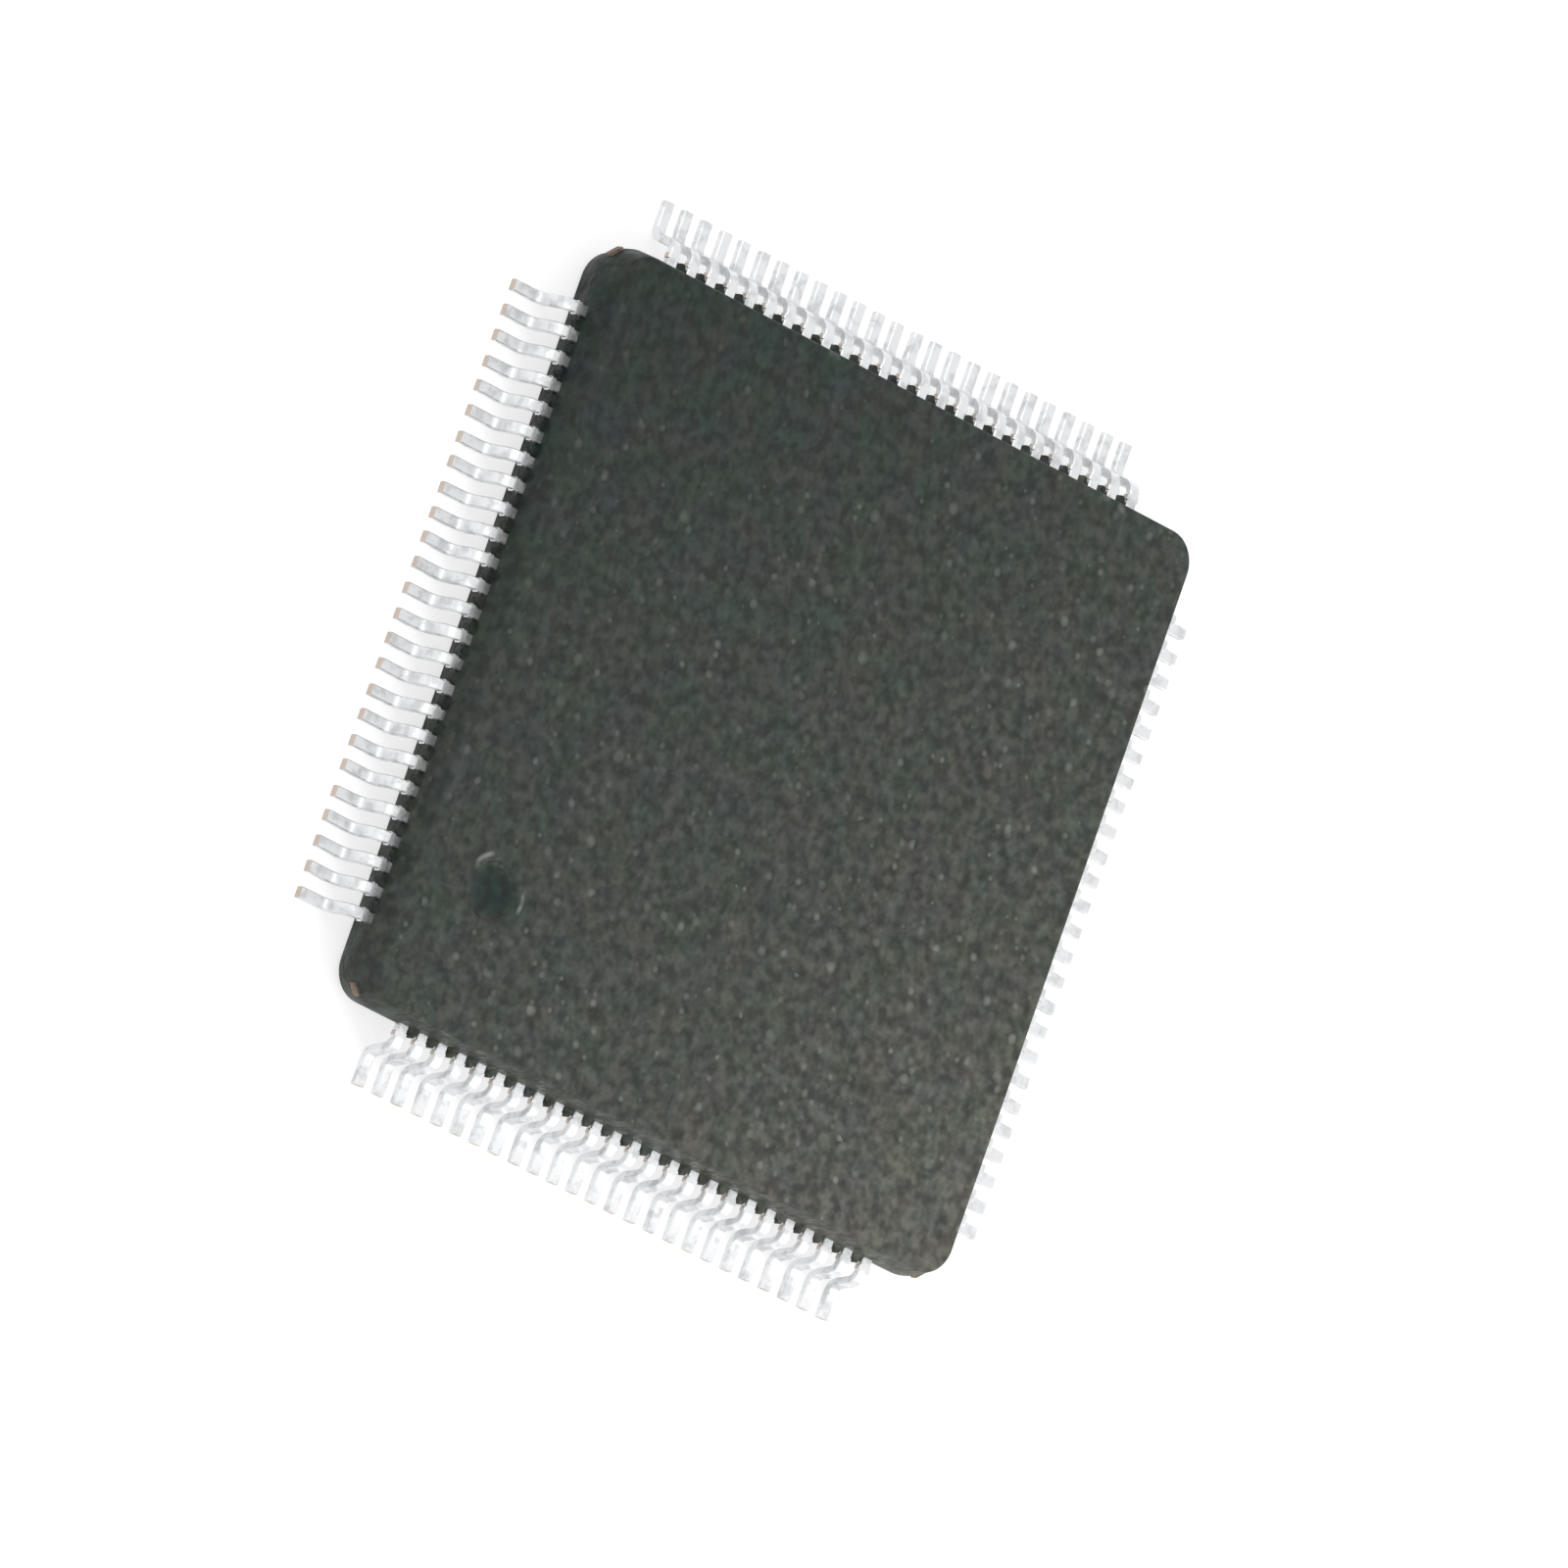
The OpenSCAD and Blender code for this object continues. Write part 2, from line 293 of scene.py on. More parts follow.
def newMaterial(name, **values):
    material = bpy.data.materials.new(name)
    material.use_nodes = True
    tree = material.node_tree
    shader = tree.nodes["Principled BSDF"]
    for label, value in values.items():
        shader.inputs[label.replace("_", " ")].default_value = value
    place = tree.nodes.new("ShaderNodeTexCoord").outputs["Object"]
    return material, tree, shader, place


def placeGroup(tree, group, place, **values):
    node = tree.nodes.new("ShaderNodeGroup")
    node.node_tree = group
    tree.links.new(place, node.inputs["Coordinates"])
    for label, value in values.items():
        node.inputs[label.replace("_", " ")].default_value = value
    return node


def attributeValue(tree, name):
    node = tree.nodes.new("ShaderNodeAttribute")
    node.attribute_name = name
    return node.outputs["Fac"]


def addPatches(tree, f, place, shader):
    # Soft dull patches: sets the roughness in and between them, and gives their mask
    patches = placeGroup(tree, patchGroup, place, Patches_per_mm=f["patchesPerMm"], Cover=f["dullCover"])
    rough = mapRange(tree, patches.outputs["Mask"], 0.0, 1.0, *f["roughness"])
    tree.links.new(rough, shader.inputs["Roughness"])
    return patches.outputs["Mask"]


def addGrain(tree, f, place, shader, calm=None):
    # Grain of a finish. calm is a mask of how much of it is taken away
    grain = placeGroup(tree, grainGroup, place, Lumps_per_mm=f["grainPerMm"],
                       Depth_in_microns=f["grainDepth"])
    if calm is not None:
        tree.links.new(mathNode(tree, "SUBTRACT", 1.0, calm), grain.inputs["Strength"])
    tree.links.new(grain.outputs["Normal"], shader.inputs["Normal"])


# Camera, floor and light

cameraView = {
    "azimuth": 196.68,   # degrees from +X, counter-clockwise
    "elevation": 51.0,   # degrees above the board
    "roll": 96.2,        # turn of the picture about the line of sight
    "distance": 500.0,   # from the aim point
    "aim": (0.409, -0.147, 0.6),
    "lens": 776.7,
    "sensorWidth": 36.0,
    "nearest": 10.0,     # what is nearer isn't drawn
    "farthest": 5000.0,  # and what is farther isn't either
}


def makeCamera(view):
    azimuth, elevation, roll = (math.radians(view[k]) for k in ("azimuth", "elevation", "roll"))
    back = np.array([math.cos(elevation) * math.cos(azimuth), math.cos(elevation) * math.sin(azimuth),
                     math.sin(elevation)])
    right = np.cross(-back, [0, 0, 1])
    right /= np.linalg.norm(right)
    up = np.cross(right, -back)
    axes = np.eye(4)  # its columns are the camera's right, up and back directions and its place
    axes[:3, 0] = right * math.cos(roll) + up * math.sin(roll)
    axes[:3, 1] = -right * math.sin(roll) + up * math.cos(roll)
    axes[:3, 2] = back
    axes[:3, 3] = (np.array(view["aim"]) + back * view["distance"]) * mm
    camera = bpy.data.objects.new("camera", bpy.data.cameras.new("camera"))
    camera.data.lens, camera.data.sensor_width = view["lens"], view["sensorWidth"]
    camera.data.clip_start, camera.data.clip_end = view["nearest"] * mm, view["farthest"] * mm
    bpy.context.scene.collection.objects.link(camera)
    camera.matrix_world = axes.T.tolist()
    bpy.context.scene.camera = camera


studio = {
    "floorSide": 600.0,
    "floorLevel": -0.002,  # just under the soles of the leads
    "floorColour": (0.60, 0.60, 0.60),
    "floorGlow": 0.68,     # added where the camera or a reflection sees the floor, to make it white
    "worldLevel": 0.60,
    "keyPlace": (28.0, -24.0, 30.0),
    "keySide": 36.0,
    "keyPower": 0.0058,
    "fillPlace": (-70.0, 50.0, 90.0),
    "fillSide": 90.0,
    "fillPower": 0.016,
}


def seenRay(tree):
    # 1 for rays from the camera, in reflections and through glass
    path = tree.nodes.new("ShaderNodeLightPath")
    seen = mathNode(tree, "MAXIMUM", path.outputs["Is Camera Ray"], path.outputs["Is Glossy Ray"])
    return mathNode(tree, "MAXIMUM", seen, path.outputs["Is Transmission Ray"])


def makeFloor(values):
    half, level = values["floorSide"] / 2, values["floorLevel"]
    corners = np.array([[-half, -half, level], [half, -half, level],
                        [half, half, level], [-half, half, level]])
    floor = bpy.data.objects.new("floor", makeMesh("floor", corners, np.array([[0, 1, 2, 3]])))
    bpy.context.scene.collection.objects.link(floor)
    material = bpy.data.materials.new("paleFloor")
    material.use_nodes = True
    tree = material.node_tree
    shader = tree.nodes["Principled BSDF"]
    shader.inputs["Base Color"].default_value = (*values["floorColour"], 1)
    shader.inputs["Roughness"].default_value = 1.0
    shader.inputs["Specular IOR Level"].default_value = 0.0
    shader.inputs["Emission Color"].default_value = (1, 1, 1, 1)
    glow = mathNode(tree, "MULTIPLY", seenRay(tree), values["floorGlow"])
    tree.links.new(glow, shader.inputs["Emission Strength"])
    floor.data.materials.append(material)


def makeLamp(name, place, side, power):
    lamp = bpy.data.objects.new(name, bpy.data.lights.new(name, "AREA"))
    lamp.data.shape, lamp.data.size, lamp.data.energy = "SQUARE", side * mm, power
    bpy.context.scene.collection.objects.link(lamp)
    lamp.location = [c * mm for c in place]
    lamp.rotation_mode = "QUATERNION"
    lamp.rotation_quaternion = lamp.location.to_track_quat("Z", "Y")


def makeLight(values):
    world = bpy.data.worlds.new("studioWorld")
    world.use_nodes = True
    tree = world.node_tree
    level = mathNode(tree, "MAXIMUM", seenRay(tree), values["worldLevel"])
    tree.nodes["Background"].inputs["Color"].default_value = (1, 1, 1, 1)
    tree.links.new(level, tree.nodes["Background"].inputs["Strength"])
    bpy.context.scene.world = world
    makeLamp("keyLamp", values["keyPlace"], values["keySide"], values["keyPower"])
    makeLamp("fillLamp", values["fillPlace"], values["fillSide"], values["fillPower"])


makeCamera(cameraView)
makeFloor(studio)
makeLight(studio)
bpy.context.scene.view_settings.view_transform = "Standard"
print("camera, floor and light made")


# Moulding

mould = {
    "halfSide": 6.0,        # at the parting line
    "cornerRadius": 0.6,
    "draft": 12.0,          # lean of the walls, in degrees
    "edgeRadius": 0.05,     # of the top and bottom edges
    "edgeSteps": 4,
    "cornerSteps": 6,       # in half a corner
    "pitch": 0.4,
    "leadWidth": 0.18,
    "leadCount": 25,
    "leadThickness": 0.127,
    "toothLength": bodyBox[1][0] - 6.0 - 0.001,  # the teeth end a micron inside the box of the solids
    "toothTip": 0.05,       # width at the tip
    "toothWaist": 0.45,     # share of the length that a tooth stands out half way along its flank
    "cornerFlat": 0.15,     # first stretch of a side after its rounded corner
    "dimple": (-4.4, -3.7),  # marks the first lead
    "dimpleRadius": 0.5,
    "dimpleDepth": 0.08,
    "ejectorPlace": 3.8,
    "ejectorRadius": 0.5,
    "ejectorDepth": 0.04,
    "pitApron": 1.4,        # half side of the square round a pit, in pit radii
    "pitRing": 0.125,       # width of the rings on a pit's wall
    "pitWall": 0.12,        # width over which a pit goes down
    "pitFade": 0.24,        # width over which a pit's floor takes its darker colour, a painted shade, with its polish
    "relief": 0.0025,       # depth of the slow waves in the spark-eroded faces
    "reliefLayers": ((0.62, 1.0), (0.34, 0.7), (0.19, 0.5)),  # cell and share of each layer
    "reliefMargin": 0.2,    # kept flat along the edge
    "reliefFade": 0.3,
    "topSeed": 11,
    "undersideSeed": 41,
    "weld": 0.0004,         # points nearer than this are joined
    "sharpAngle": 40,       # edges steeper than this stay sharp, in degrees
}


def sideColumns(m):
    # One side from the middle of its left corner to the middle of its right one, seen from above:
    # points on the parting line, the outward direction there, and how far a tooth stands out (0 to 1)
    straight = m["halfSide"] - m["cornerRadius"]
    leads = (np.arange(m["leadCount"]) - (m["leadCount"] - 1) / 2) * m["pitch"]
    root = (m["pitch"] - m["leadWidth"]) / 2
    tip = m["toothTip"] / 2 / root
    half = (1 + tip) / 2
    share = np.array([-1, -half, -tip, tip, half, 1])  # of the way from the middle of a tooth to its root
    teeth = (leads[:-1] + m["pitch"] / 2)[:, None] + share[None, :] * root
    waist = m["toothWaist"]
    stand = np.broadcast_to(np.array([0, waist, 1, 1, waist, 0]), teeth.shape)
    ends = np.array([straight, straight - m["cornerFlat"], leads[-1] + m["leadWidth"] / 2])
    x = np.concatenate([-ends, leads, teeth.ravel(), ends])
    out = np.concatenate([0 * ends, 0 * leads, stand.ravel(), 0 * ends])
    order = np.argsort(x, kind="stable")
    x, out = x[order], out[order]
    turn = np.radians(np.linspace(0, 45, m["cornerSteps"] + 1))[1:]
    arc = np.stack([straight + m["cornerRadius"] * np.sin(turn),
                    -straight - m["cornerRadius"] * np.cos(turn)], axis=-1)
    arcOut = np.stack([np.sin(turn), -np.cos(turn)], axis=-1)
    flip = np.array([-1, 1])
    points = np.concatenate([(arc * flip)[::-1], np.stack([x, 0 * x - m["halfSide"]], axis=-1), arc])
    facing = np.concatenate([(arcOut * flip)[::-1], np.tile([0.0, -1.0], (len(x), 1)), arcOut])
    tooth = np.concatenate([0 * turn, out, 0 * turn])
    return points, facing, tooth


def wallRows(m, low, high, bandLow, bandHigh):
    # Section of the wall as rows of inset, height and tooth: a round edge, the drafted lower wall, the band
    # that holds the leads, the drafted upper wall and the upper round edge.
    # Round edge: centre one radius inside both faces, points at inset - r cos, height + r sin
    lean, r = math.radians(m["draft"]), m["edgeRadius"]
    angles = np.linspace(math.pi / 2, lean, m["edgeSteps"] + 1)

    def edge(level, bandLevel):
        sign = 1 if level > bandLevel else -1
        centre = abs(level - bandLevel) - r
        inset = centre * math.tan(lean) + r / math.cos(lean) - r * np.cos(angles)
        return np.stack([inset, level - sign * r + sign * r * np.sin(angles), 0 * angles], axis=-1)

    band = np.array([[0, bandLow, 0], [0, bandLow, 1], [0, bandHigh, 1], [0, bandHigh, 0]])
    return np.concatenate([edge(low, bandLow), band, edge(high, bandHigh)[::-1]])


def relief(m, x, y, seed):
    # Slow waves of the eroded face: layers of value noise, each finer one shallower, and all below the face.
    # They fade towards the edge with the distance from the square through the centres of the rounded corners
    layers = m["reliefLayers"]
    waves = sum(share * softNoise(x, y, cell, seed + k) for k, (cell, share) in enumerate(layers))
    deepest = sum(share for _, share in layers)
    straight = m["halfSide"] - m["cornerRadius"]
    far = np.hypot(np.maximum(np.abs(x) - straight, 0), np.maximum(np.abs(y) - straight, 0))
    fade = ease((m["cornerRadius"] - m["reliefMargin"] - far) / m["reliefFade"])
    return m["relief"] * (waves - deepest) * fade


def faceWithPits(m, edgePoints, level, into, pits, seed):
    # A face of the moulding: a square grid whose lines bow to the rounded corners. With along and depth as
    # the two coordinates of a side's points and c their value at the corner, x = along(u) depth(v) / c and
    # y = depth(u) along(v) / c. Round each pit the grid's cells give way to rings that go from the hole's
    # square edge to the pit's circle. A pit's depth follows the smooth step of the way in from its rim
    apronRings, wallRings, floorRings = 7, 9, 7
    along, depth = edgePoints[:, 0], -edgePoints[:, 1]
    count, c = len(along), along[-1]
    x = along[:, None] * depth[None, :] / c
    y = depth[:, None] * along[None, :] / c
    wave = relief(m, x, y, seed)
    plate = np.stack([x, y, level + into * wave], axis=-1)
    cells = gridFaces(count, count)
    keep = np.ones((count - 1, count - 1), bool)
    points, faces, used = [plate.reshape(-1, 3)], [], count * count
    middle = count // 2
    lineAt = x[:, middle]  # both families of lines are straight away from the corners
    for px, py, radius, deep in pits:
        half = m["pitApron"] * radius
        i0, i1 = np.searchsorted(lineAt, [px - half, px + half])
        j0, j1 = np.searchsorted(lineAt, [py - half, py + half])
        keep[i0:i1, j0:j1] = False
        loop = np.concatenate([plate[i0:i1, j0], plate[i1, j0:j1], plate[i1:i0:-1, j1], plate[i0, j1:j0:-1]])
        angle = np.arctan2(loop[:, 1] - py, loop[:, 0] - px)
        circle = np.stack([px + radius * np.cos(angle), py + radius * np.sin(angle)], axis=-1)
        blend = np.linspace(0, 1, apronRings)[:, None, None]
        apron = loop[None, :, :2] * (1 - blend) + circle[None] * blend
        size = np.concatenate([radius - np.linspace(0, m["pitRing"], wallRings)[1:],
                               np.linspace(radius - m["pitRing"], 0, floorRings)[1:]])
        bowl = np.array([px, py]) + (circle - np.array([px, py]))[None] * (size / radius)[:, None, None]
        down = deep * ease((radius - size) / m["pitWall"])
        ringXY = np.concatenate([apron, bowl])
        fade = np.concatenate([1 - blend[:, :, 0], 0 * size[:, None]])
        rest = relief(m, ringXY[..., 0], ringXY[..., 1], seed) * fade
        drop = np.concatenate([0 * blend[:, 0, 0], down])[:, None]
        ringZ = level + into * (rest - drop)
        ringZ[0] = loop[:, 2]
        faces.append(gridFaces(len(ringXY), len(loop), closed=True) + used)
        points.append(np.concatenate([ringXY, ringZ[..., None]], axis=-1).reshape(-1, 3))
        used += ringXY.shape[0] * ringXY.shape[1]
    return np.concatenate(points), np.concatenate([cells[keep.ravel()], *faces])


def makeMoulding(m, material):
    low, high = bodyBox[0][2], bodyBox[1][2]
    bandHigh, bandLow = frameHigh, frameHigh - m["leadThickness"]
    base, facing, tooth = sideColumns(m)
    rows = wallRows(m, low, high, bandLow, bandHigh)
    reach = rows[:, 2:3] * tooth[None, :] * m["toothLength"] - rows[:, :1]
    wallXY = base[None] + facing[None] * reach[..., None]
    wall = np.concatenate([wallXY, np.broadcast_to(rows[:, 1][:, None, None], (*reach.shape, 1))], axis=-1)
    points, faces, used = [], [], 0
    for side in range(4):
        points.append(turned(wall, side).reshape(-1, 3))
        faces.append(gridFaces(*reach.shape) + used)
        used += reach.size
    place = m["ejectorPlace"]
    marks = [(sx * place, sy * place, m["ejectorRadius"], m["ejectorDepth"])
             for sx in (-1, 1) for sy in (-1, 1)]
    dimple = [(*m["dimple"], m["dimpleRadius"], m["dimpleDepth"])]
    topFace = high, 1, wallXY[-1], dimple, m["topSeed"]
    underside = low, -1, wallXY[0], marks, m["undersideSeed"]
    for level, into, edgePoints, pits, seed in (topFace, underside):
        facePoints, faceFaces = faceWithPits(m, edgePoints, level, into, pits, seed)
        points.append(facePoints)
        faces.append(faceFaces + used)
        used += len(facePoints)
    mesh = makeMesh("mouldedBody", np.concatenate(points), np.concatenate(faces))
    weldMesh(mesh, m["weld"])
    # How much a point belongs to a pit's floor: the smooth step of the way in from the rim
    where = meshPoints(mesh)
    floorMask = np.zeros(len(where))
    for px, py, radius, _ in marks + dimple:
        away = np.hypot(where[:, 0] - px, where[:, 1] - py)
        level = low if (px, py) != m["dimple"] else high
        near = np.abs(where[:, 2] - level) < (high - low) / 5
        floorMask = np.maximum(floorMask, ease((radius - away) / m["pitFade"]) * near)
    attribute = mesh.attributes.new("pitFloor", "FLOAT", "POINT")
    attribute.data.foreach_set("value", floorMask.astype(np.float32))
    smoothSides(mesh, m["sharpAngle"])
    showPiece("mouldedBody", mesh, ["mould_body"], material)
    print("moulding made:", len(mesh.polygons), "faces")


resinFinish = {
    "colour": (0.027, 0.036, 0.032),
    "gloss": 0.22,                    # specular level
    "roughness": (0.42, 0.62),        # varies slowly between these
    "roughnessPerMm": 3.0,
    "paintedSheen": (0.134, 0.132, 0.112),   # painted sheen: a pale colour that stands in for glossy light towards the corner at +X and -Y
    "paintedSheenShare": 0.95,
    "paintedSheenStart": 11.0,               # before the middle, along the diagonal to the corner at +X and -Y
    "paintedSheenLength": 25.0,
    "paintedSheenRise": 0.95,
    "paintedSheenCorner": 1.1,
    "paintedSheenThin": 0.5,                 # share left of the painted sheen in its winding weak places
    "paintedSheenThinPerMm": 6.0,
    "tints": (                        # each multiplies the colour under it: tint, offset, patches per mm
        ((0.80, 1.06, 0.88), (3, 0, 1), 1.3),
        ((0.88, 0.96, 1.10), (0, 7, 2), 1.7),
        ((1.11, 0.99, 0.96), (5, 5, 0), 1.5),
    ),
    "tintCover": 0.47,
    "tintShare": 0.9,
    "tintFade": 0.6,                  # how much of that the painted sheen takes away
    "mottle": (0.65, 1.38),           # fine dark and light blotches multiply the colour by these
    "mottlePerMm": 4.6,
    "speck": (0.36, 0.38, 0.34),
    "speckLayers": ((3.0, 0.36), (5.6, 0.50)),  # specks per mm and size
    "speckShare": 0.32,
    "speckStrength": (0.1, 0.65),     # everywhere, and more along the painted sheen, where they are painted glints
    # painted shade: the darker colour of the pit floors
    "pitFloor": (0.019, 0.032, 0.029),
    "pitPolish": 0.1,                 # how much less rough a pit's floor is
    "pitCalm": 0.8,                   # share of the grain that a pit's floor lacks
    "rimPaintedGlint": (0.36, 0.38, 0.35),   # painted highlight: short glints on the dimple's rim
    "rimTurns": (132, 2),             # their directions in degrees from +X
    "rimArc": (0.92, 0.995),          # cosine of the turn from there at which an arc begins and is full
    "rimWidth": 0.055,
    "rimGlintStrength": (0.1, 0.75),           # least and most strength of the arcs
    "rimGlintStrengthSpan": (0.35, 0.62),      # noise at which they have it
    "rimGlintStrengthPerMm": 4.0,
    "grainPerMm": 6.0,
    "grainDepth": 30.0,               # in microns
}


def makePaintedSheen(tree, f, place):
    # Painted sheen, paler towards the corner at +X and -Y as if lit there: with t from 0 to 1 along the
    # diagonal, its share is the rise times t plus the corner times t to the sixth power. This gives t, and
    # the share of the surface that the painted sheen covers
    apart = tree.nodes.new("ShaderNodeSeparateXYZ")
    tree.links.new(place, apart.inputs["Vector"])
    along = mathNode(tree, "SUBTRACT", apart.outputs["X"], apart.outputs["Y"])
    along = mathNode(tree, "ADD", along, f["paintedSheenStart"] * mm)
    along = mathNode(tree, "DIVIDE", along, f["paintedSheenLength"] * mm, clamp=True)
    strong = mathNode(tree, "MULTIPLY", mathNode(tree, "POWER", along, 6.0), f["paintedSheenCorner"])
    paintedSheen = mathNode(tree, "ADD", mathNode(tree, "MULTIPLY", along, f["paintedSheenRise"]), strong)
    # Winding weak places in the painted sheen
    thick = noiseLevel(tree, place, f["paintedSheenThinPerMm"], 1.0, 0.5, f["paintedSheenThin"], 1.0)
    sheenMask = mathNode(tree, "MULTIPLY", mathNode(tree, "MULTIPLY", paintedSheen, thick), f["paintedSheenShare"])
    return along, sheenMask


def addTints(tree, f, place, colour, strength):
    # Faint patches of colour, one kind over the other
    for tint, offset, perMm in f["tints"]:
        patches = placeGroup(tree, patchGroup, place, Offset_in_mm=offset, Patches_per_mm=perMm,
                             Cover=f["tintCover"])
        share = mathNode(tree, "MULTIPLY", patches.outputs["Mask"], strength)
        colour = mixColour(tree, share, colour, tint, "MULTIPLY")
    return colour


def addSpecks(tree, f, place, colour, strength):
    # Fine pale specks in layers of different size: specks of filler, and where they grow along the diagonal,
    # painted glints
    for perMm, size in f["speckLayers"]:
        specks = placeGroup(tree, speckGroup, place, Specks_per_mm=perMm, Size=size, Share=f["speckShare"])
        share = mathNode(tree, "MULTIPLY", specks.outputs["Mask"], strength)
        colour = mixColour(tree, share, colour, f["speck"])
    return colour


def paintRimGlints(tree, f, m, place, colour):
    # Painted highlights: short glints on the dimple's rim, painted into the colour. Each fades with the
    # distance from the rim, and with the turn away from its own direction
    away = vectorNode(tree, "SUBTRACT", place, [c * mm for c in (*m["dimple"], bodyBox[1][2])])
    reach = vectorNode(tree, "LENGTH", away)
    off = mathNode(tree, "SUBTRACT", reach, (m["dimpleRadius"] + f["rimWidth"]) * mm)
    off = mathNode(tree, "DIVIDE", mathNode(tree, "ABSOLUTE", off), f["rimWidth"] * mm)
    ring = mathNode(tree, "SUBTRACT", 1.0, off, clamp=True)
    heading = vectorNode(tree, "NORMALIZE", away)
    glintStrength = noiseNode(tree, place, f["rimGlintStrengthPerMm"], 2.0, 0.5)
    glintStrength = mapRange(tree, glintStrength, *f["rimGlintStrengthSpan"], *f["rimGlintStrength"])
    for turn in f["rimTurns"]:
        course = (math.cos(math.radians(turn)), math.sin(math.radians(turn)), 0)
        arc = mapRange(tree, vectorNode(tree, "DOT_PRODUCT", heading, course), *f["rimArc"])
        arc = mathNode(tree, "MULTIPLY", mathNode(tree, "MULTIPLY", arc, ring), glintStrength)
        colour = mixColour(tree, arc, colour, f["rimPaintedGlint"])
    return colour


def makeResin(f, m):
    material, tree, shader, place = newMaterial("mouldResin", Specular_IOR_Level=f["gloss"])
    pitFloor = attributeValue(tree, "pitFloor")
    # Painted sheen: the colour turns paler towards the corner at +X and -Y, as if lit there
    along, sheenMask = makePaintedSheen(tree, f, place)
    colour = mixColour(tree, sheenMask, f["colour"], f["paintedSheen"])
    # Painted shade: the pit floors are darker
    colour = mixColour(tree, pitFloor, colour, f["pitFloor"])
    fading = mathNode(tree, "MULTIPLY", along, f["tintFade"])
    colour = addTints(tree, f, place, colour, mathNode(tree, "SUBTRACT", f["tintShare"], fading))
    mottle = noiseLevel(tree, place, f["mottlePerMm"], 1.5, 0.6, *f["mottle"])
    colour = mixColour(tree, 1.0, colour, mottle, "MULTIPLY")
    # The specks grow stronger towards the corner at +X and -Y: painted glints over the filler specks
    least, more = f["speckStrength"]
    share = mathNode(tree, "ADD", mathNode(tree, "MULTIPLY", along, more), least)
    share = mathNode(tree, "MULTIPLY", share, mathNode(tree, "SUBTRACT", 1.0, pitFloor))
    colour = addSpecks(tree, f, place, colour, share)
    # Painted highlight: glints on the dimple's rim
    colour = paintRimGlints(tree, f, m, place, colour)
    tree.links.new(colour, shader.inputs["Base Color"])
    rough = noiseLevel(tree, place, f["roughnessPerMm"], 3.0, 0.5, *f["roughness"])
    rough = mathNode(tree, "SUBTRACT", rough, mathNode(tree, "MULTIPLY", pitFloor, f["pitPolish"]))
    tree.links.new(rough, shader.inputs["Roughness"])
    addGrain(tree, f, place, shader, mathNode(tree, "MULTIPLY", pitFloor, f["pitCalm"]))
    return material


makeMoulding(mould, makeResin(resinFinish, mould))


# Leads

lead = {
    "width": mould["leadWidth"],
    "thickness": mould["leadThickness"],
    "reach": 7.0,           # from the middle of the package to the toe
    "wall": mould["halfSide"],
    "shoulder": 0.2,        # flat length outside the wall
    "bendRadius": 0.12,     # inside
    "legAngle": 80.0,
    "bendSteps": 6,
    "edge": 0.016,          # size of the rounded long edges
    "stubLength": 0.08,     # of what is left of the dam bar on both sides of a lead
    "stubOut": 0.02,
    "stubStep": 0.008,      # length over which the stub widens
    "tipEdge": 3.05,        # where the finger inside the moulding begins
    "tipLength": 0.5,
    "tipWidth": 0.11,
    "tipPitch": 0.22,
    "root": 5.6,
    "skew": 0.012,          # how far a foot may stray sideways
    "seed": 70,
    "sharpAngle": 32,       # edges steeper than this stay sharp, in degrees
}


def leadPath(v):
    # Middle line of a lead as rows of reach, height and direction angle, and its width in each row: finger,
    # shoulder, bend, leg, bend, foot. A bend's points are centre + radius (sin, cos) of the turn
    half = v["thickness"] / 2
    mid = frameHigh - half
    radius = v["bendRadius"] + half
    slope = math.radians(v["legAngle"])
    bend = v["wall"] + v["shoulder"]
    drop = mid - half - 2 * radius * (1 - math.cos(slope))
    leg = drop / math.sin(slope)
    foot = bend + 2 * radius * math.sin(slope) + leg * math.cos(slope)
    turn = np.linspace(0, slope, v["bendSteps"] + 1)
    back = turn[::-1]
    upper = np.stack([bend + radius * np.sin(turn), mid - radius + radius * np.cos(turn), -turn], axis=-1)
    lower = np.stack([foot - radius * np.sin(back), half + radius - radius * np.cos(back), -back], axis=-1)
    toe = np.array([[v["reach"], half, 0]])
    stub, step = bend - v["stubLength"], v["stubStep"]
    wide = v["width"] + 2 * v["stubOut"]
    reach = [v["tipEdge"], v["tipEdge"] + v["tipLength"], v["root"], stub - step, stub, bend - step]
    widths = [v["tipWidth"], v["tipWidth"], v["width"], v["width"], wide, wide]
    flat = np.stack([reach, np.full(len(reach), mid), np.zeros(len(reach))], axis=-1)
    path = np.concatenate([flat, upper, lower, toe])
    return path, np.concatenate([widths, np.full(len(path) - len(widths), v["width"])])


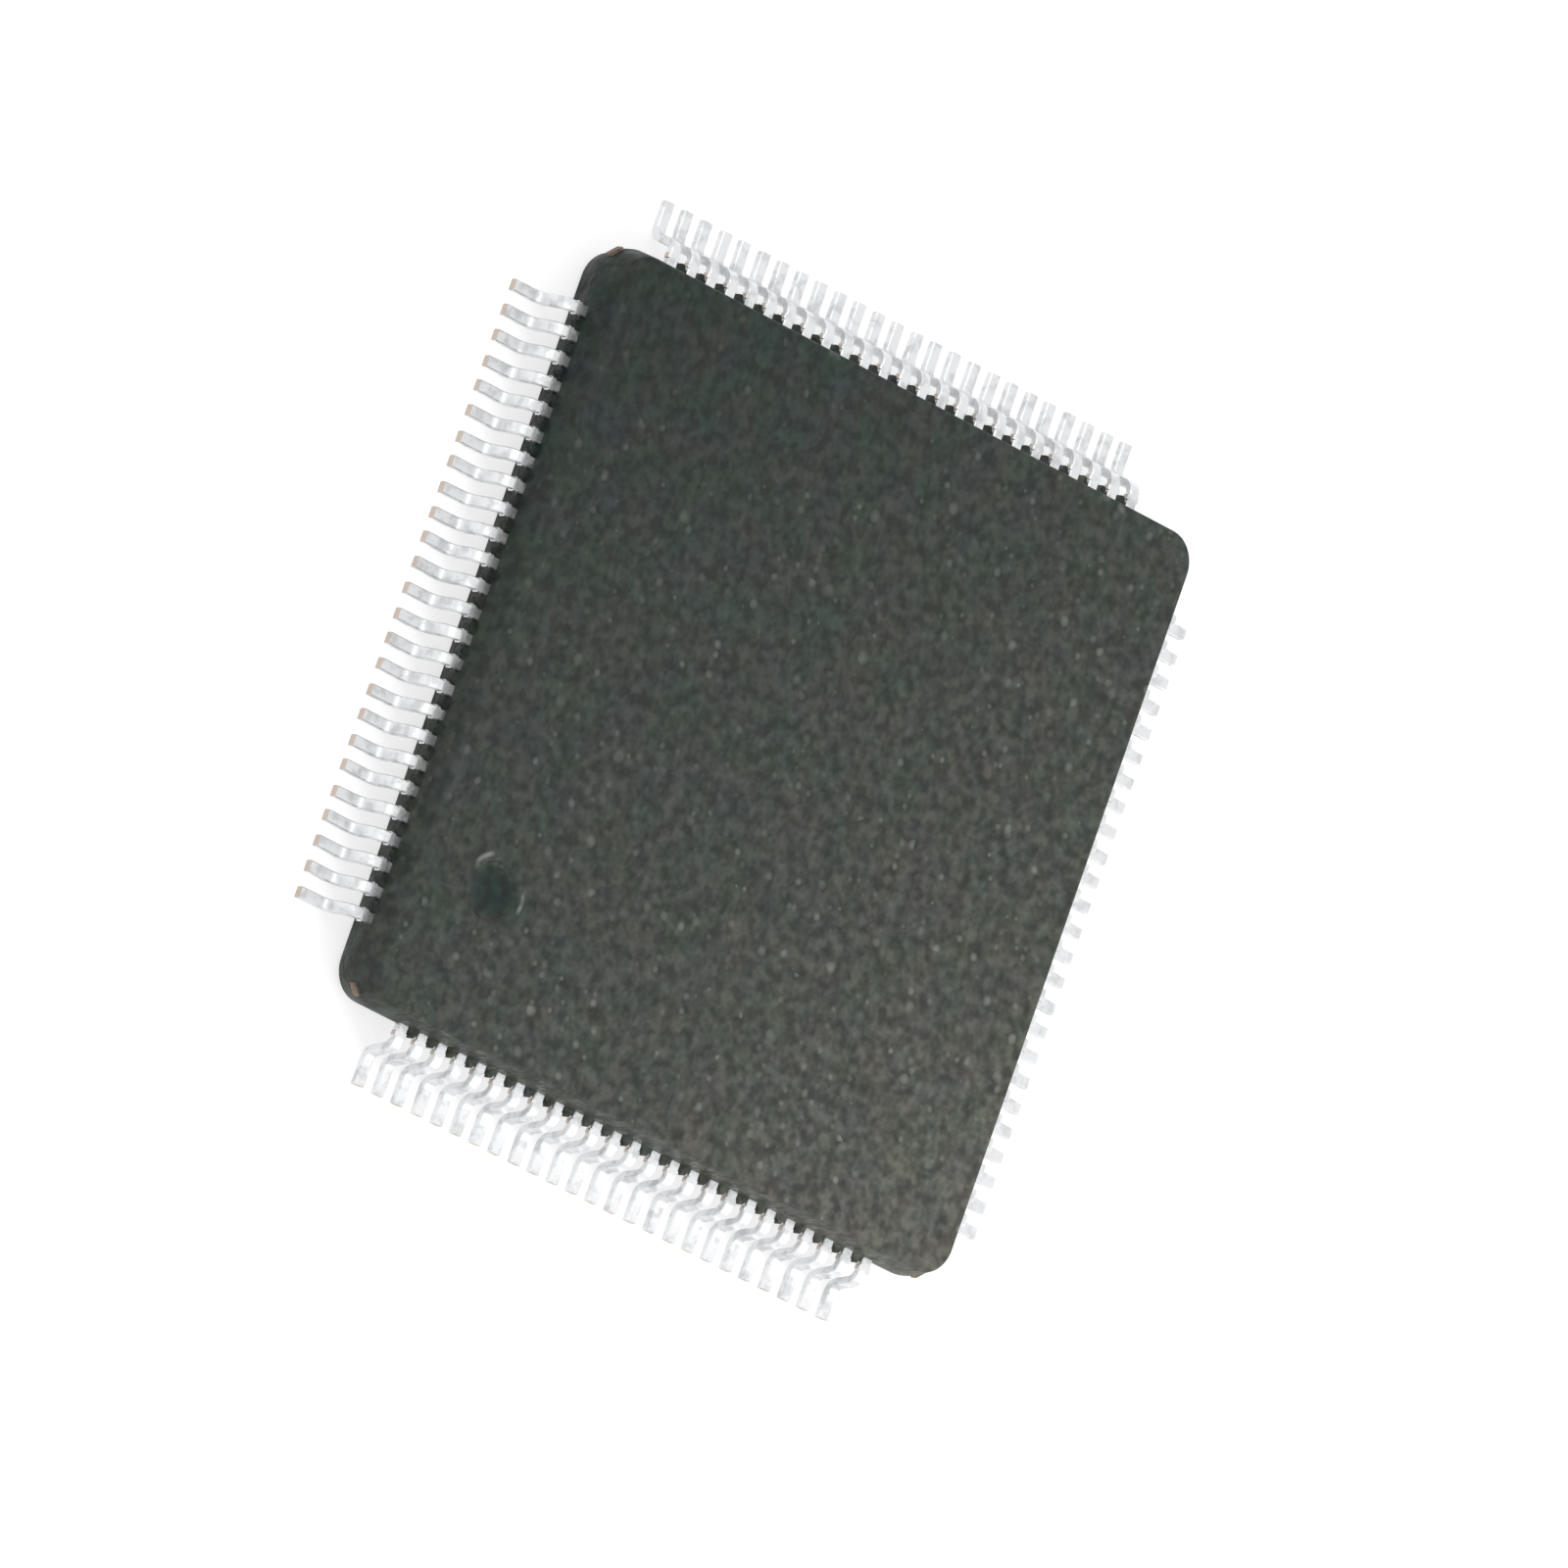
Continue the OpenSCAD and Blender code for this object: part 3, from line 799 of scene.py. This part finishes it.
def makeLeads(v, m, side, material):
    # A rounded strip, eight points round, carried along the middle line, for all the leads of a side at once.
    # From the middle of the side, a lead lies at its number times a pitch that grows in a straight line from
    # the finger's tip to its root, plus a stray that grows by the smooth step from the shoulder to the toe
    around, stubRow, stubSides, capFaces = 8, 4, [3, 7], 3
    path, width = leadPath(v)
    along = path[:, 0]
    number = np.arange(m["leadCount"]) - (m["leadCount"] - 1) / 2
    tipEnd, bend = v["tipEdge"] + v["tipLength"], v["wall"] + v["shoulder"]
    fan = np.clip((along - tipEnd) / (v["root"] - tipEnd), 0, 1)
    stray = np.random.default_rng(v["seed"] + side).uniform(-v["skew"], v["skew"], m["leadCount"])
    low = ease((along - bend) / (v["reach"] - bend))
    middle = number[:, None] * (v["tipPitch"] + (m["pitch"] - v["tipPitch"]) * fan[None])
    middle = middle + stray[:, None] * low[None]
    wide, thick, edge = width / 2, v["thickness"] / 2, v["edge"]
    across = np.stack([wide, wide - edge, edge - wide, -wide, -wide, edge - wide, wide - edge, wide], axis=-1)
    above = np.array([thick - edge, thick, thick, thick - edge, edge - thick, -thick, -thick, edge - thick])
    x = middle[:, :, None] + across[None]
    y = along[:, None] - np.sin(path[:, 2])[:, None] * above[None]
    z = path[:, 1][:, None] + np.cos(path[:, 2])[:, None] * above[None]
    points = np.stack([x, np.broadcast_to(-y, x.shape), np.broadcast_to(z, x.shape)], axis=-1)
    rows = len(path)
    strip = gridFaces(rows, around, closed=True)
    cap = np.array([[0, 1, 2, 3], [0, 3, 4, 7], [4, 5, 6, 7]])
    one = np.concatenate([strip, cap[:, ::-1], cap + (rows - 1) * around])
    first = np.arange(m["leadCount"]) * rows * around
    faces = (one[None] + first[:, None, None]).reshape(-1, 4)
    mesh = makeMesh("leads_" + sideNames[side], turned(points, side).reshape(-1, 3), faces)
    bare = np.zeros(len(one))
    bare[-capFaces:] = 1  # the toe was cut after plating
    bare[stubRow * around + np.array(stubSides)] = 1  # and so were the dam bar's stubs
    attribute = mesh.attributes.new("bareCopper", "FLOAT", "FACE")
    attribute.data.foreach_set("value", np.tile(bare, m["leadCount"]).astype(np.float32))
    smoothSides(mesh, v["sharpAngle"])
    showPiece("leads_" + sideNames[side], mesh, ["lead_row_" + sideNames[side]], material)


tinFinish = {
    "colour": (0.80, 0.81, 0.82),
    "dull": (0.64, 0.65, 0.66),
    "bare": (0.58, 0.50, 0.44),  # cut copper of the toes and stubs
    "dullCover": 0.45,
    "patchesPerMm": 5.0,
    "roughness": (0.30, 0.50),   # of the plain and the dull patches
    "grainPerMm": 30.0,
    "grainDepth": 2.0,           # in microns
}


def makeTin(f):
    material, tree, shader, place = newMaterial("tinPlating", Metallic=1.0)
    patches = addPatches(tree, f, place, shader)
    colour = mixColour(tree, patches, f["colour"], f["dull"])
    colour = mixColour(tree, attributeValue(tree, "bareCopper"), colour, f["bare"])
    tree.links.new(colour, shader.inputs["Base Color"])
    addGrain(tree, f, place, shader)
    return material


tin = makeTin(tinFinish)
for side in range(4):
    makeLeads(lead, mould, side, tin)
print("leads made")


# Pieces inside the moulding: the solids keep their meshes and only take a material

insideFinishes = [
    {
        "nodes": ["die_paddle"],
        "material": "copperSheet",
        "colour": (0.26, 0.20, 0.155),
        "dull": (0.18, 0.14, 0.11),
        "metallic": 1.0,
        "dullCover": 0.5,
        "roughness": (0.46, 0.56),
        "patchesPerMm": 6.0,
        "grainPerMm": 12.0,
        "grainDepth": 12.0,
    },
    {
        "nodes": ["lead_lock_tape"],
        "material": "amberTape",
        "colour": (0.42, 0.19, 0.03),
        "dull": (0.34, 0.14, 0.02),
        "metallic": 0.0,
        "dullCover": 0.5,
        "roughness": (0.25, 0.35),
        "patchesPerMm": 3.0,
        "grainPerMm": 6.0,
        "grainDepth": 1.0,
    },
    {
        "nodes": ["die_attach"],
        "material": "silverAdhesive",
        "colour": (0.50, 0.50, 0.48),
        "dull": (0.34, 0.34, 0.33),
        "metallic": 0.6,
        "dullCover": 0.5,
        "roughness": (0.45, 0.55),
        "patchesPerMm": 14.0,
        "grainPerMm": 28.0,
        "grainDepth": 6.0,
    },
    {
        "nodes": ["die"],
        "material": "polishedSilicon",
        "colour": (0.16, 0.17, 0.21),
        "dull": (0.12, 0.14, 0.20),
        "metallic": 0.4,
        "dullCover": 0.5,
        "roughness": (0.16, 0.26),
        "patchesPerMm": 4.0,
        "grainPerMm": 8.0,
        "grainDepth": 0.5,
    },
    {
        "nodes": ["bond_wires_" + name for name in sideNames],
        "material": "goldWire",
        "colour": (0.90, 0.66, 0.26),
        "dull": (0.80, 0.56, 0.20),
        "metallic": 1.0,
        "dullCover": 0.5,
        "roughness": (0.22, 0.32),
        "patchesPerMm": 20.0,
        "grainPerMm": 40.0,
        "grainDepth": 0.5,
    },
]


def makeInside(f):
    material, tree, shader, place = newMaterial(f["material"], Metallic=f["metallic"])
    patches = addPatches(tree, f, place, shader)
    tree.links.new(mixColour(tree, patches, f["colour"], f["dull"]), shader.inputs["Base Color"])
    addGrain(tree, f, place, shader)
    return material


for finish in insideFinishes:
    material = makeInside(finish)
    for node in finish["nodes"]:
        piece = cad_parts[node]
        piece.data.materials.clear()
        piece.data.materials.append(material)
print("inner pieces finished")
